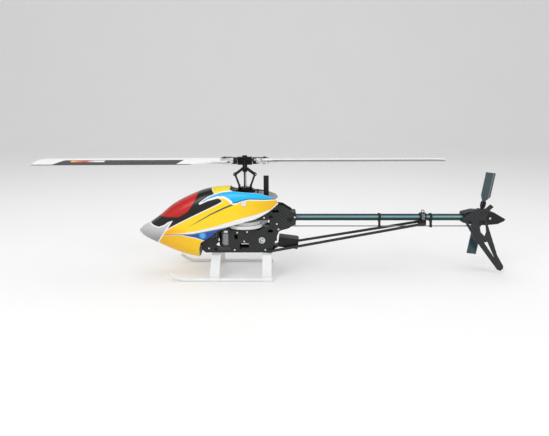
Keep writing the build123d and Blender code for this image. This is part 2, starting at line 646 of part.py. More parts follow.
def follower_arm(end):
    """Two cheeks astride the hub's neck, from its pivot to the elbow, with a pin at each end."""
    for aside in (-5.8, 4.5):
        with BuildSketch(facing(end, 0, aside, 0)) as sketch:
            with BuildLine():
                Line((PIVOT_R, -PIVOT_Z), (ELBOW_R, -ELBOW_Z))
            trace(line_width=3.8)
        extrude(sketch.sketch, amount=1.3)
    disc(facing(end, ELBOW_R, -5.8, ELBOW_Z), 0.9, 11.6)
    disc(facing(end, PIVOT_R, -5.8, PIVOT_Z), 0.9, 11.6)


with BuildPart() as follower_link_front:
    follower_link(1)

with BuildPart() as follower_link_rear:
    follower_link(-1)

with BuildPart() as follower_arm_front:
    follower_arm(1)

with BuildPart() as follower_arm_rear:
    follower_arm(-1)


# ---------------------------------------------------------------- grips and main blades
def blade_grip(end):
    frame = blade_plane(end)
    disc(across(frame, 13.2), 6.0, 11)
    with BuildSketch(shifted(frame, z=-4.8)) as sketch:
        with Locations((30.5, 0)):
            RectangleRounded(21, 13, 5.5)
    extrude(sketch.sketch, amount=9.6)
    box(shifted(frame, 33.5, 0, -2.1), 18.5, 16, 4.2, Mode.SUBTRACT)
    box(shifted(frame, 16.5, -7.5, -1.6), 5, 8, 3.2)
    box(shifted(frame, 9.0, -12.2, -1.6), 20, 2.6, 3.2)
    pin = Plane(origin=frame.from_local_coords((0, -13.5, 0)), x_dir=frame.x_dir, z_dir=-frame.y_dir)
    disc(pin, 0.8, LINK_Y - 13.5)
    ball(shifted(frame, 0, -LINK_Y))
    disc(across(frame, 13), 2.05, 10.2, Mode.SUBTRACT)
    disc(shifted(frame, BLADE_BOLT, 0, -6), 1.48, 12, Mode.SUBTRACT)
    disc(shifted(frame, BLADE_BOLT, 0, -6.8), 2.6, 2.1)
    disc(shifted(frame, BLADE_BOLT, 0, -6.0), 1.4, 12.6)
    disc(shifted(frame, BLADE_BOLT, 0, 4.7), 2.7, 1.95)


def aerofoil(plane, chord, thick, length):
    """A bar of symmetric section; the plane's x runs from the leading to the trailing edge."""
    shares = (0.0, 0.0125, 0.05, 0.15, 0.3, 0.5, 0.75, 1.0)
    curve = [5 * (0.2969 * sqrt(s) - 0.126 * s - 0.3516 * s**2 + 0.2843 * s**3 - 0.1015 * s**4) for s in shares]
    upper = [(chord * s, thick * c) for s, c in zip(shares, curve)]
    lower = [(x, -y) for x, y in upper]
    with BuildSketch(plane) as sketch:
        with BuildLine():
            Spline(*upper)
            Spline(*lower)
            Line(upper[-1], lower[-1])
        make_face()
    extrude(sketch.sketch, amount=length)


def main_blade(end):
    frame = blade_plane(end)
    tip = BLADE_BOLT + BLADE_LENGTH
    lead = -BLADE_LEAD
    trail = BLADE_CHORD - BLADE_LEAD
    start = shifted(frame, 48, lead)
    section = Plane(origin=start.origin, x_dir=start.y_dir, z_dir=start.x_dir)
    aerofoil(section, BLADE_CHORD, BLADE_THICK, tip - 48)
    with BuildSketch(shifted(frame, z=-4)) as sketch:
        with BuildLine():
            Polyline((tip - 34, lead), (30, lead), (30, 0), (52, 7), (98, trail), (tip - 2, trail),
                     (tip, trail - 3))
            ThreePointArc((tip, trail - 3), (tip - 9, -4), (tip - 34, lead))
        make_face()
    extrude(sketch.sketch, amount=8, mode=Mode.INTERSECT)
    with BuildSketch(shifted(frame, z=-BLADE_THICK / 2)) as sketch:
        with BuildLine():
            Polyline((33, -7), (56, -9), (58, 6.5), (52, 7), (33, 6.5), close=True)
        make_face()
        with Locations((BLADE_BOLT, 0)):
            Circle(6.8)
    extrude(sketch.sketch, amount=BLADE_THICK)
    disc(shifted(frame, BLADE_BOLT, 0, -5), 1.5, 10, Mode.SUBTRACT)


with BuildPart() as grip_front:
    blade_grip(1)

with BuildPart() as grip_rear:
    blade_grip(-1)

with BuildPart() as blade_front:
    main_blade(1)

with BuildPart() as blade_rear:
    main_blade(-1)

# ---------------------------------------------------------------- tail drive
BEVEL_SMALL = 2.6
BEVEL_BIG = 4.2
BEVEL_GAP = 0.2


def bevel(plane):
    """A cone wheel whose apex is the plane's origin; the plane faces away from the mating wheel."""
    with BuildSketch(shifted(plane, z=BEVEL_SMALL + BEVEL_GAP)) as small:
        Circle(BEVEL_SMALL)
    with BuildSketch(shifted(plane, z=BEVEL_BIG + BEVEL_GAP)) as big:
        Circle(BEVEL_BIG)
    loft([small.sketch, big.sketch])
    disc(shifted(plane, z=BEVEL_BIG + BEVEL_GAP), 3.2, 2.6)


with BuildPart() as tail_drive_shaft:
    disc(level(80.5, DRIVE_X), 1.5, 28)
    toothed_disc(Plane(origin=(MAST_X + DRIVE_X, 0, 90.8), x_dir=(-1, 0, 0), z_dir=(0, 0, 1)), TAIL_TEETH,
                 5.2,
                 tooth_first=False)
    bevel(level(BOOM_Z, DRIVE_X))

with BuildPart() as torque_tube:
    bevel(cross(DRIVE_X, 0, BOOM_Z))
    disc(cross(40, 0, BOOM_Z), 2.0, 379)
    bevel(Plane(origin=(MAST_X + TAIL_X, 0, BOOM_Z), x_dir=(0, 1, 0), z_dir=(-1, 0, 0)))

with BuildPart() as tail_shaft:
    disc(side(TAIL_Y + 6, TAIL_X, BOOM_Z), 2.0, TAIL_Y + 6 + 11.5)
    bevel(side(0, TAIL_X, BOOM_Z))

with BuildPart() as tail_hub:
    upper = tail_plane(1)
    box(shifted(upper, z=-3.5), 9, 9, 7, corner=1)
    disc(across(upper, -15), 1.5, 30)
    disc(shifted(upper, z=3.4), 3.0, 2.4)
    disc(shifted(upper, z=-5), 2.03, 14, Mode.SUBTRACT)


def tail_grip(end):
    frame = tail_plane(end)
    disc(across(frame, 5.2), 3.6, 12)
    box(shifted(frame, 18, 0, -3.2), 12, 7.5, 6.4, corner=3)
    box(shifted(frame, 20, 0, -1.3), 14, 9, 2.6, Mode.SUBTRACT)
    box(shifted(frame, 8, -6, -1.2), 4, 6.5, 2.4)
    pin = Plane(origin=frame.from_local_coords((8, -7.2, -1.0)), x_dir=frame.x_dir, z_dir=-frame.z_dir)
    disc(pin, 0.5, 1.8)
    disc(across(frame, 5), 1.55, 11, Mode.SUBTRACT)
    disc(shifted(frame, 20, 0, -4), 1.0, 8)


def tail_blade(end):
    frame = tail_plane(end)
    with BuildSketch(shifted(frame, z=-1.2)) as sketch:
        with BuildLine():
            Polyline((17, -3), (24, -3), (34, -7), (TAIL_TIP, -7), (TAIL_TIP, TAIL_CHORD - 7),
                     (32, TAIL_CHORD - 7),
                     (25, 3), (17, 3), close=True)
        make_face()
    extrude(sketch.sketch, amount=2.4)
    with BuildSketch(shifted(frame, z=-1.3)) as lower_face:
        with Locations((53, TAIL_CHORD - 7)):
            Rectangle(50, 9)
    extrude(lower_face.sketch, amount=0.7, mode=Mode.SUBTRACT)
    disc(shifted(frame, 20, 0, -2), 1.05, 4, Mode.SUBTRACT)


with BuildPart() as tail_grip_upper:
    tail_grip(1)

with BuildPart() as tail_grip_lower:
    tail_grip(-1)

with BuildPart() as tail_blade_upper:
    tail_blade(1)

with BuildPart() as tail_blade_lower:
    tail_blade(-1)

SLIDER_Y = 13.8
with BuildPart() as tail_slider_ring:
    ring(side(SLIDER_Y + 2.4, TAIL_X, BOOM_Z), 6.6, 3.7, 0.9)
    ring(side(SLIDER_Y + 1.5, TAIL_X, BOOM_Z), 5.2, 3.7, 3.0)
    ring(side(SLIDER_Y - 1.5, TAIL_X, BOOM_Z), 6.6, 3.7, 0.9)

with BuildPart() as tail_slider_hub:
    ring(side(SLIDER_Y + 4.4, TAIL_X, BOOM_Z), 3.5, 2.06, 6.9)
    spider = tail_plane(1)
    low_y = SLIDER_Y + 2.8 - TAIL_Y
    box(shifted(spider, 0, 0, low_y), 20, 4, 1.4, corner=1)
    for end in (1, -1):
        box(shifted(tail_plane(end), 8, -4.6, low_y), 4, 9, 1.4)
        with BuildSketch(shifted(tail_plane(end), 8, -7.2, low_y)):
            Circle(1.9)
        extrude(amount=-low_y - 2.4)
        disc(shifted(tail_plane(end), 8, -7.2, low_y + 2.2), 1.35, 9, Mode.SUBTRACT)
    disc(shifted(spider, 0, 0, -14), 2.06, 14, Mode.SUBTRACT)

FORK_Z = 7.0
with BuildPart() as tail_lever:
    disc(level(95.8, LEVER_X, LEVER_Y), 3.0, 8.0)
    disc(level(82.6, LEVER_X, LEVER_Y), 1.45, 20)
    slab((LEVER_X, LEVER_Y - 2.6, 97), (LEVER_X + 9, LEVER_Y + 0.6, 103))
    slab((LEVER_X + 6.5, LEVER_Y - 2.2, BOOM_Z - FORK_Z - 1.6),
         (LEVER_X + 9, LEVER_Y + 0.2, BOOM_Z + FORK_Z + 1.6))
    for low in (BOOM_Z + FORK_Z, BOOM_Z - FORK_Z - 1.6):
        slab((LEVER_X + 7, LEVER_Y - 2.2, low), (TAIL_X + 1.6, LEVER_Y + 0.2, low + 1.6))
    disc(level(BOOM_Z + FORK_Z - 1.4, TAIL_X, SLIDER_Y), 0.9, 1.8)
    disc(level(BOOM_Z - FORK_Z - 0.4, TAIL_X, SLIDER_Y), 0.9, 1.8)
    slab((LEVER_X - 2, ROD_Y, 82.6), (LEVER_X + 2, LEVER_Y, 84.4))
    disc(level(82.6, LEVER_X, ROD_Y), 2.0, 1.8)
    disc(level(82.6, LEVER_X, LEVER_Y), 2.6, 1.8)
    disc(level(84, LEVER_X, ROD_Y), 0.7, 2)
    ball(level(ROD_Z, LEVER_X, ROD_Y))

with BuildPart() as control_rod:
    tube_between((TAIL_SERVO_X + 2.3, ROD_Y, ROD_Z), (LEVER_X - 2.3, ROD_Y, ROD_Z), 1.0)
    tube_between((TAIL_SERVO_X + 2.3, ROD_Y, ROD_Z), (TAIL_SERVO_X + 14, ROD_Y, ROD_Z), 1.6)
    tube_between((LEVER_X - 14, ROD_Y, ROD_Z), (LEVER_X - 2.3, ROD_Y, ROD_Z), 1.6)
    ring(side(ROD_Y + 0.8, TAIL_SERVO_X, ROD_Z), 3.2, 2.1, 1.6)
    ring(level(ROD_Z - 0.8, LEVER_X, ROD_Y), 2.7, 1.9, 1.6)

for label in sorted(name for name, value in list(globals().items()) if isinstance(value, BuildPart)):
    save(globals()[label].part, label)
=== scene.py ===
"""Model helicopter: painted skins, finishes, light and camera over the CAD frame."""

import json
from math import cos, pi, radians, sin

import bmesh
import bpy
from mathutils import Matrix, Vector


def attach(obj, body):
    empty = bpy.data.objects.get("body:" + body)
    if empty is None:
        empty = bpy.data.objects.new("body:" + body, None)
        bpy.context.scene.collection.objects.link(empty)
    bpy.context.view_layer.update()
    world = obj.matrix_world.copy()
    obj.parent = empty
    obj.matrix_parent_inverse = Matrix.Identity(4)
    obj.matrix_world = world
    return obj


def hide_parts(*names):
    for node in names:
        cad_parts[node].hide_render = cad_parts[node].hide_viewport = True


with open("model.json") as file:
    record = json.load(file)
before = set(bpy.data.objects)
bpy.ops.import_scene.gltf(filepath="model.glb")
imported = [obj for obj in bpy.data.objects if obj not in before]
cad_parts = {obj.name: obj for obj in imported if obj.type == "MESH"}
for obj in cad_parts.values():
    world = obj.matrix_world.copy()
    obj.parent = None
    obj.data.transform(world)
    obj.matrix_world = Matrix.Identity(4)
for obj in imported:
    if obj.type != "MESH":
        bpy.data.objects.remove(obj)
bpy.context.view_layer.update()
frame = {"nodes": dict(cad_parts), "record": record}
NODES = frame["nodes"]

MM = 0.001
MAST_X = -51.0           # the rotor mast, in mm along the model's X
HEAD_Z = 200.0           # height of the main blades
BOOM_Z = 100.5           # height of the tail boom's axis
TURN = radians(2.0)      # the rotor stands this far off the fore-and-aft line
PITCH = radians(14.0)    # main blade pitch at rest
TAIL_AXIS = (375.7, 25.0, BOOM_Z)    # middle of the tail rotor, in mm
TAIL_TURN = radians(6.6)             # the upper tail blade leans this far from upright

bpy.ops.object.select_all(action="DESELECT")


def place(x, y, z):
    """A point given in mm aft of the mast, to starboard and up, as a point of the model in metres."""
    return Vector(((MAST_X + x) * MM, y * MM, z * MM))


# ---------------------------------------------------------------- node groups
def new_group(name, inputs, outputs):
    """An empty shader group with named sockets, and its input and output nodes."""
    group = bpy.data.node_groups.new(name, "ShaderNodeTree")
    for label, kind, value in inputs:
        socket = group.interface.new_socket(name=label, in_out="INPUT", socket_type=kind)
        if value is not None:
            socket.default_value = value
    for label, kind in outputs:
        group.interface.new_socket(name=label, in_out="OUTPUT", socket_type=kind)
    return group, group.nodes.new("NodeGroupInput"), group.nodes.new("NodeGroupOutput")


class Wires:
    """Short ways to add and link nodes in one tree."""

    def __init__(self, tree):
        self.tree = tree

    def feed(self, socket, value):
        if isinstance(value, bpy.types.NodeSocket):
            self.tree.links.new(value, socket)
        else:
            socket.default_value = value

    def node(self, kind, **inputs):
        node = self.tree.nodes.new(kind)
        for key, value in inputs.items():
            self.feed(node.inputs[key.replace("_", " ")], value)
        return node

    def math(self, operation, a, b=0.0, c=0.0):
        node = self.tree.nodes.new("ShaderNodeMath")
        node.operation = operation
        for socket, value in zip(node.inputs, (a, b, c)):
            self.feed(socket, value)
        return node.outputs[0]

    def vector(self, operation, a, b=(0, 0, 0)):
        node = self.tree.nodes.new("ShaderNodeVectorMath")
        node.operation = operation
        self.feed(node.inputs[0], a)
        self.feed(node.inputs[1], b)
        return node.outputs[0]

    def split(self, vector):
        return self.node("ShaderNodeSeparateXYZ", Vector=vector).outputs

    def join(self, x, y, z):
        return self.node("ShaderNodeCombineXYZ", X=x, Y=y, Z=z).outputs[0]

    def mix(self, factor, a, b):
        node = self.tree.nodes.new("ShaderNodeMix")
        node.data_type = "RGBA"
        self.feed(node.inputs[0], factor)
        self.feed(node.inputs[6], a if isinstance(a, bpy.types.NodeSocket) else (*a, 1))
        self.feed(node.inputs[7], b if isinstance(b, bpy.types.NodeSocket) else (*b, 1))
        return node.outputs[2]

    def ramp(self, value, low, high):
        """0 below low, 1 above high, straight in between."""
        node = self.tree.nodes.new("ShaderNodeMapRange")
        self.feed(node.inputs[0], value)
        node.inputs[1].default_value = low
        node.inputs[2].default_value = high
        return node.outputs[0]

    def noise(self, vector, scale, detail=3.0, rough=0.5):
        node = self.node("ShaderNodeTexNoise", Vector=vector, Scale=scale, Detail=detail, Roughness=rough)
        return node.outputs[0]

    def use(self, group, **inputs):
        node = self.tree.nodes.new("ShaderNodeGroup")
        node.node_tree = group
        for key, value in inputs.items():
            self.feed(node.inputs[key.replace("_", " ")], value)
        return node.outputs


def twill_group():
    """Two-by-two twill tows in the input's X and Z."""
    group, source, sink = new_group(
        "Twill weave", [("Vector", "NodeSocketVector", None), ("Tows", "NodeSocketFloat", 900.0)],
        [("Tow", "NodeSocketFloat"), ("Height", "NodeSocketFloat")])
    w = Wires(group)
    x, _, z = w.split(source.outputs[0])
    across = w.math("MULTIPLY", x, source.outputs[1])
    along = w.math("MULTIPLY", z, source.outputs[1])
    step = w.math("ADD", w.math("FLOOR", across), w.math("FLOOR", along))
    phase = w.math("FLOORED_MODULO", step, 4.0)
    warp = w.math("LESS_THAN", phase, 1.5)
    hump_a = w.math("SINE", w.math("MULTIPLY", w.math("FRACT", across), pi))
    hump_b = w.math("SINE", w.math("MULTIPLY", w.math("FRACT", along), pi))
    height = w.math("ADD", w.math("MULTIPLY", hump_a, warp),
                    w.math("MULTIPLY", hump_b, w.math("SUBTRACT", 1.0, warp)))
    w.feed(sink.inputs[0], warp)
    w.feed(sink.inputs[1], height)
    return group


def grain_group():
    """Fine cast or moulded grain plus slow cloudy change, both centred on a half."""
    group, source, sink = new_group(
        "Surface grain", [("Vector", "NodeSocketVector", None), ("Scale", "NodeSocketFloat", 1500.0)],
        [("Fine", "NodeSocketFloat"), ("Cloud", "NodeSocketFloat")])
    w = Wires(group)
    w.feed(sink.inputs[0], w.noise(source.outputs[0], source.outputs[1], 2.0, 0.6))
    slow = w.math("MULTIPLY", source.outputs[1], 0.03)
    w.feed(sink.inputs[1], w.noise(source.outputs[0], slow, 3.0, 0.5))
    return group


def scratch_group():
    """Hairline scratches and small chips, as a mask."""
    group, source, sink = new_group(
        "Handling marks", [("Vector", "NodeSocketVector", None), ("Amount", "NodeSocketFloat", 0.5)],
        [("Mask", "NodeSocketFloat")])
    w = Wires(group)
    stretched = w.vector("MULTIPLY", source.outputs[0], (160.0, 900.0, 1400.0))
    lines = w.ramp(w.noise(stretched, 1.0, 2.0, 0.5), 0.68, 0.78)
    chips = w.ramp(w.noise(source.outputs[0], 420.0, 3.0, 0.7), 0.70, 0.74)
    patch = w.ramp(w.noise(source.outputs[0], 35.0, 2.0, 0.5), 0.45, 0.6)
    mask = w.math("MULTIPLY", w.math("MAXIMUM", lines, chips), patch)
    w.feed(sink.inputs[0], w.math("MULTIPLY", mask, source.outputs[1]))
    return group


TWILL = twill_group()
GRAIN = grain_group()
MARKS = scratch_group()


# ---------------------------------------------------------------- materials
def start(name):
    """A new node material, its wires, its shader and the Object coordinates."""
    material = bpy.data.materials.new(name)
    material.use_nodes = True
    w = Wires(material.node_tree)
    shader = material.node_tree.nodes["Principled BSDF"]
    coords = w.tree.nodes.new("ShaderNodeTexCoord").outputs["Object"]
    return material, w, shader, coords


def bump(w, shader, height, depth):
    """Raises the surface by depth metres where height is 1."""
    node = w.node("ShaderNodeBump", Height=height, Distance=depth)
    node.inputs["Strength"].default_value = 1.0
    w.feed(shader.inputs["Normal"], node.outputs[0])


def carbon(name, level=False, dark=(0.006, 0.007, 0.007), light=(0.032, 0.034, 0.034)):
    """Twill carbon plate under a thin satin coat. level=True weaves it in X and Y."""
    material, w, shader, coords = start(name)
    if level:
        x, y, z = w.split(coords)
        coords = w.join(x, z, y)
    tow, height = w.use(TWILL, Vector=coords, Tows=620.0)
    cloud = w.use(GRAIN, Vector=coords, Scale=900.0)[1]
    shade = w.math("ADD", w.math("MULTIPLY", tow, 0.7), w.math("MULTIPLY", cloud, 0.3))
    marks = w.use(MARKS, Vector=coords, Amount=0.35)[0]
    w.feed(shader.inputs["Base Color"], w.mix(marks, w.mix(shade, dark, light), (0.16, 0.16, 0.16)))
    w.feed(shader.inputs["Roughness"], w.math("ADD", 0.34, w.math("MULTIPLY", cloud, 0.16)))
    shader.inputs["Specular IOR Level"].default_value = 0.3
    shader.inputs["Coat Weight"].default_value = 0.1
    shader.inputs["Coat Roughness"].default_value = 0.2
    bump(w, shader, height, 0.00005)
    return material


def metal(name, colour, rough, brushed=(1.0, 1.0, 1.0), marks=0.3, worn=(0.75, 0.75, 0.76)):
    """Metal with fine grain, stretched along its brushing, and worn marks."""
    material, w, shader, coords = start(name)
    stretched = w.vector("MULTIPLY", coords, brushed)
    fine, cloud = w.use(GRAIN, Vector=stretched, Scale=2200.0)
    mask = w.use(MARKS, Vector=coords, Amount=marks)[0]
    deep = tuple(0.8 * c for c in colour)
    w.feed(shader.inputs["Base Color"], w.mix(mask, w.mix(cloud, deep, colour), worn))
    w.feed(shader.inputs["Roughness"], w.math("ADD", rough - 0.06, w.math("MULTIPLY", fine, 0.12)))
    shader.inputs["Metallic"].default_value = 1.0
    bump(w, shader, fine, 0.00001)
    return material


def plastic(name, colour, rough, grain=0.00002, marks=0.25, coat=0.0, worn=None, gloss=0.5):
    """Moulded plastic or rubber with a fine grain and rubbed marks."""
    material, w, shader, coords = start(name)
    fine, cloud = w.use(GRAIN, Vector=coords, Scale=1600.0)
    mask = w.use(MARKS, Vector=coords, Amount=marks)[0]
    deep = tuple(0.88 * c for c in colour)
    worn = worn or tuple(min(1.0, 0.08 + 1.1 * c) for c in colour)
    w.feed(shader.inputs["Base Color"], w.mix(mask, w.mix(cloud, deep, colour), worn))
    w.feed(shader.inputs["Roughness"], w.math("ADD", rough - 0.05, w.math("MULTIPLY", fine, 0.12)))
    shader.inputs["Specular IOR Level"].default_value = gloss
    shader.inputs["Coat Weight"].default_value = coat
    bump(w, shader, fine, grain)
    return material


def webbing(name):
    """Woven hook-and-loop strap."""
    material, w, shader, coords = start(name)
    tow, height = w.use(TWILL, Vector=coords, Tows=1300.0)
    fine, cloud = w.use(GRAIN, Vector=coords, Scale=3000.0)
    fuzz = w.math("ADD", w.math("MULTIPLY", tow, 0.5), w.math("MULTIPLY", fine, 0.5))
    w.feed(shader.inputs["Base Color"], w.mix(fuzz, (0.012, 0.012, 0.014), (0.06, 0.06, 0.066)))
    w.feed(shader.inputs["Roughness"], w.math("ADD", 0.8, w.math("MULTIPLY", cloud, 0.1)))
    shader.inputs["Sheen Weight"].default_value = 0.4
    bump(w, shader, w.math("ADD", height, fine), 0.00015)
    return material


def line_above(w, across, up, points, soft=0.0004):
    """1 where up is above the broken line through points, given in mm as (aft of mast, height)."""
    low_x, high_x = -200.0, 80.0
    low_z, high_z = 0.0, 200.0
    node = w.tree.nodes.new("ShaderNodeFloatCurve")
    curve = node.mapping.curves[0]
    wanted = [((x - low_x) / (high_x - low_x), (z - low_z) / (high_z - low_z)) for x, z in points]
    while len(curve.points) < len(wanted):
        curve.points.new(0.5, 0.5)
    for point, spot in zip(curve.points, wanted):
        point.location = spot
        point.handle_type = "VECTOR"
    node.mapping.update()
    w.feed(node.inputs["Value"], w.ramp(across, (MAST_X + low_x) * MM, (MAST_X + high_x) * MM))
    line = w.math("MULTIPLY_ADD", node.outputs[0], (high_z - low_z) * MM, low_z * MM)
    return w.ramp(w.math("SUBTRACT", up, line), -soft, soft)


def behind(w, across, up, foot, head, soft=0.0004):
    """1 aft of the straight line from foot to head, both in mm (aft of mast, height)."""
    (x0, z0), (x1, z1) = foot, head
    slope = (x1 - x0) / (z1 - z0)
    line = w.math("MULTIPLY_ADD", up, slope, (MAST_X + x0 - slope * z0) * MM)
    return w.ramp(w.math("SUBTRACT", across, line), -soft, soft)


def canopy_paint():
    """Painted shell: yellow sides, cyan flash, dark glass with red, blue chin and pale nose."""
    material, w, shader, coords = start("canopy_paint")
    x, y, z = w.split(coords)
    sweep = w.use(GRAIN, Vector=w.vector("MULTIPLY", coords, (0.35, 1.0, 1.0)), Scale=700.0)
    fine, cloud = sweep[0], sweep[1]

    def both(a, b):
        return w.math("MULTIPLY", a, b)

    def unless(a):
        return w.math("SUBTRACT", 1.0, a)

    def above(*points, soft=0.0004):
        return line_above(w, x, z, points, soft)

    def aft(foot, head, soft=0.0004):
        return behind(w, x, z, foot, head, soft)

    # yellow side that warms to orange towards the rear and the nose
    warm = w.math("ADD", w.ramp(x, (MAST_X - 20) * MM, (MAST_X + 62) * MM), w.math("MULTIPLY", cloud, 0.5))
    yellow = w.mix(w.ramp(warm, 0.35, 1.3), (0.95, 0.66, 0.012), (0.75, 0.36, 0.01))
    amber = both(w.ramp(x, (MAST_X - 98) * MM, (MAST_X - 128) * MM), w.ramp(z, 0.092, 0.082))
    colour = w.mix(amber, yellow, (0.95, 0.42, 0.012))
    # white band along the lower edge of the side
    low_edge = above((-200, 74), (-141, 75), (-111, 78), (-84, 83), (-48, 92), (-7, 105), (20, 112),
                     (45, 121), (54, 130), (80, 150))
    colour = w.mix(low_edge, (0.82, 0.82, 0.83), colour)
    # chin: yellow under the white band, with a blue wedge and a pale spot
    chin = above((-200, 73), (-141, 74.5), (-116, 75.5), (-90, 76.5), (-69, 81), (-36, 88), (20, 104),
                 (80, 140))
    wedge = above((-200, 73), (-110, 76), (-84, 71.5), (-68, 66), (-55, 60), (80, 40))
    spot_x = w.math("SUBTRACT", x, (MAST_X - 72) * MM)
    spot_z = w.math("SUBTRACT", z, 0.0755)
    spot = w.math("SQRT",
                  w.math("ADD", w.math("MULTIPLY", spot_x, spot_x), w.math("MULTIPLY", spot_z, spot_z)))
    blue = w.mix(w.ramp(spot, 0.007, 0.003), (0.006, 0.075, 0.36), (0.08, 0.42, 0.75))
    under = w.mix(w.ramp(x, (MAST_X - 150) * MM, (MAST_X - 78) * MM), (0.8, 0.42, 0.006),
                  (0.92, 0.58, 0.008))
    wedge_edge = above((-200, 72), (-110, 75), (-84, 70.2), (-68, 64.7), (-55, 58.5), (80, 38))
    under = w.mix(wedge_edge, under, (0.85, 0.85, 0.85))
    under = w.mix(wedge, under, blue)
    colour = w.mix(chin, under, colour)
    # painted shadow: a dark line along the chine, between the chin and the white band
    chine_shadow_top = above((-200, 74.2), (-141, 75.5), (-116, 76.7), (-90, 78), (-69, 82.2), (-36, 89),
                     (20, 104.2), (80, 140.2))
    chine_shadow = both(chin, unless(chine_shadow_top))
    colour = w.mix(chine_shadow, colour, (0.05, 0.06, 0.07))
    # dark pinstripe that runs down and forward from the cyan flash
    stripe_top = above((-200, 40), (-118, 80), (-83, 98.2), (-58, 113.2), (-35, 124.4), (-17, 131.8),
                       (-4, 137), (80, 137))
    stripe_foot = above((-200, 39), (-118, 79.5), (-83, 96.8), (-58, 111), (-35, 121.6), (-17, 129),
                        (-4, 135), (80, 139))
    stripe = both(unless(stripe_top), stripe_foot)
    stripe = both(stripe, w.ramp(x, (MAST_X - 100) * MM, (MAST_X - 78) * MM))
    colour = w.mix(stripe, colour, (0.008, 0.05, 0.10))
    # cyan flash over the upper rear, with white and dark edges
    white_low = above((-200, 20), (-110, 90), (-76, 127), (-62, 134.5), (-46, 139.8), (-35, 139.5),
                      (-28, 135.5),
                      (-21, 129), (-14, 129), (-4, 133.6), (8, 135.8), (34, 135.4), (60, 136.6), (80, 137))
    dark_low = above((-200, 20), (-110, 92), (-76, 129), (-62, 136.3), (-46, 141.4), (-35, 141.2),
                     (-27, 137.5),
                     (-19, 131.2), (-12, 132), (-4, 135.4), (8, 137.6), (34, 137), (60, 137.8), (80, 138))
    cyan_low = above((-200, 21), (-110, 93), (-72, 132), (-62, 137.6), (-46, 142.6), (-34, 142.4),
                     (-26, 138.7),
                     (-18, 132.6), (-12, 133.8), (-4, 136.9), (8, 139), (34, 138.4), (60, 139), (80, 139.5))
    colour = w.mix(both(white_low, aft((-78, 100), (-74, 160))), colour, (0.86, 0.86, 0.87))
    colour = w.mix(both(dark_low, aft((-20, 100), (-20, 160))), colour, (0.008, 0.05, 0.12))
    cyan = w.mix(w.ramp(x, (MAST_X - 70) * MM, (MAST_X - 20) * MM), (0.05, 0.26, 0.50), (0.0, 0.46, 0.84))
    colour = w.mix(both(cyan_low, aft((-72, 100), (-70, 160))), colour, cyan)
    # yellow and black crown above the flash
    crown_edge = above((-200, 20), (-110, 95), (-76, 130.5), (-63, 139.5), (-51, 145), (-38, 148.6),
                       (-24, 150.2), (-13, 151), (0, 160), (80, 200))
    crown = above((-200, 20), (-110, 96), (-76, 132), (-63, 141.2), (-51, 146.4), (-38, 150), (-24, 151.6),
                  (-13, 152.6), (0, 162), (80, 200))
    colour = w.mix(both(crown_edge, aft((-78, 100), (-74, 160))), colour, (0.88, 0.88, 0.88))
    colour = w.mix(both(crown, aft((-50, 146), (-56, 153))), colour, (0.95, 0.70, 0.015))
    colour = w.mix(both(crown, aft((-25, 140), (-25, 160))), colour, (0.02, 0.02, 0.02))
    # glass: black, with a red band over its forward crown
    sill_white = above((-200, 42), (-133, 84.2), (-113, 95), (-93, 105.2), (-68, 117.4), (-43, 129.2),
                       (-34, 134.4), (-33, 200), (80, 200))
    sill = above((-200, 44), (-133, 85.8), (-113, 96.6), (-93, 106.8), (-68, 119), (-43, 131), (-37, 135),
                 (-36, 200), (80, 200))
    under_flash = unless(above((-200, 160), (-96, 160), (-95, 140), (-76, 128.4), (-62, 134.8),
                               (-47, 139), (-43, 139.2), (-36, 134), (80, 90)))
    ahead = unless(aft((-76, 128.5), (-77.2, 129.5)))
    nose_glass = both(ahead, above((-200, 20), (-110, 40), (-80, 60), (80, 60)))
    glass_zone = w.math("MAXIMUM", under_flash, nose_glass)
    glass_zone = w.math("MAXIMUM", glass_zone, both(crown, unless(aft((-51, 146), (-57, 153)))))
    red_low = above((-200, 106), (-146, 106), (-132, 106), (-112, 107), (-97, 116), (-89, 127),
                    (-83, 138), (-79, 146), (-76, 200), (80, 200), soft=0.0012)
    red = w.mix(w.ramp(cloud, 0.3, 0.7), (0.42, 0.010, 0.012), (0.60, 0.02, 0.018))
    red_on = both(red_low, both(aft((-149, 100), (-147, 110)), unless(aft((-83, 138), (-80, 146)))))
    glass = w.mix(red_on, (0.010, 0.010, 0.011), red)
    sill_zone = both(sill_white, unless(aft((-34.5, 133), (-42, 142))))
    colour = w.mix(both(sill_zone, glass_zone), colour, (0.88, 0.88, 0.88))
    core = both(sill, unless(aft((-37, 134), (-43.5, 141))))
    colour = w.mix(both(core, glass_zone), colour, glass)
    # nose: pale grey cone with a white rim against the glass
    rim = unless(above((-200, 96), (-165, 93.4), (-157, 90.2), (-148, 88.6), (-139, 92.2), (-132, 97.2),
                       (-123, 100.5), (-121, 60), (80, 60)))
    nose = unless(above((-200, 94), (-165, 91), (-157, 88.3), (-148, 86.6), (-139, 90), (-132, 95),
                        (-124, 98.6), (-122, 60), (80, 60)))
    edge_rear = unless(aft((-151, 60), (-122, 101)))
    edge_core = unless(aft((-153, 60), (-124.5, 101)))
    colour = w.mix(both(rim, edge_rear), colour, (0.86, 0.86, 0.87))
    grey = w.mix(w.ramp(z, 0.066, 0.094), (0.28, 0.28, 0.29), (0.66, 0.66, 0.67))
    colour = w.mix(both(nose, edge_core), colour, grey)

    marks = w.use(MARKS, Vector=coords, Amount=0.10)[0]
    w.feed(shader.inputs["Base Color"], w.mix(marks, colour, (0.9, 0.9, 0.9)))
    w.feed(shader.inputs["Roughness"], w.math("ADD", 0.22, w.math("MULTIPLY", fine, 0.05)))
    shader.inputs["Specular IOR Level"].default_value = 0.3
    shader.inputs["Coat Weight"].default_value = 0.25
    shader.inputs["Coat Roughness"].default_value = 0.05
    bump(w, shader, cloud, 0.00012)
    return material


